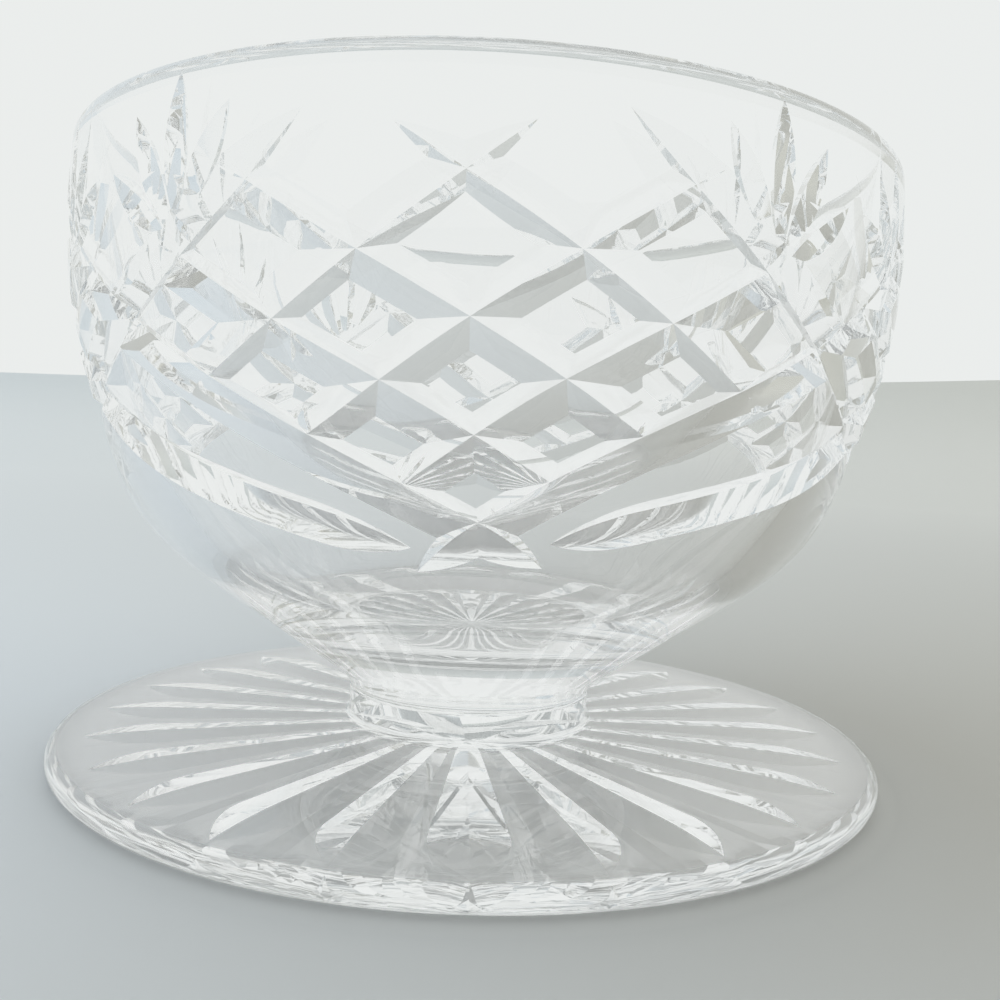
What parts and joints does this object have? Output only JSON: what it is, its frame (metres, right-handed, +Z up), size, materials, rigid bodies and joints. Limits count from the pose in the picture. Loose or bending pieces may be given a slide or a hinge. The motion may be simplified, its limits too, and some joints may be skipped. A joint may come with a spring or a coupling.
{
  "type": "footed dessert bowl",
  "caption": "Footed dessert bowl in clear cut crystal: round bowl with diamond panels and leaf fans, short stem, flat round foot with a star cut underneath.",
  "frame": {"origin": "on the axis, in the plane that the foot stands on", "axes": "+Z up along the axis of the bowl, one diamond panel faces -Y"},
  "size_m": [0.097, 0.097, 0.0682],
  "materials": {
    "crystal_bowl": "clear lead crystal, hand-cut and acid-polished",
    "crystal_stem": "clear lead crystal, fire-polished",
    "crystal_foot": "clear lead crystal, fire-polished on top, star-cut and polished underneath"
  },
  "bodies": {
    "root": {"bowl": "crystal_bowl", "stem": "crystal_stem", "foot": "crystal_foot"}
  },
  "joints": []
}
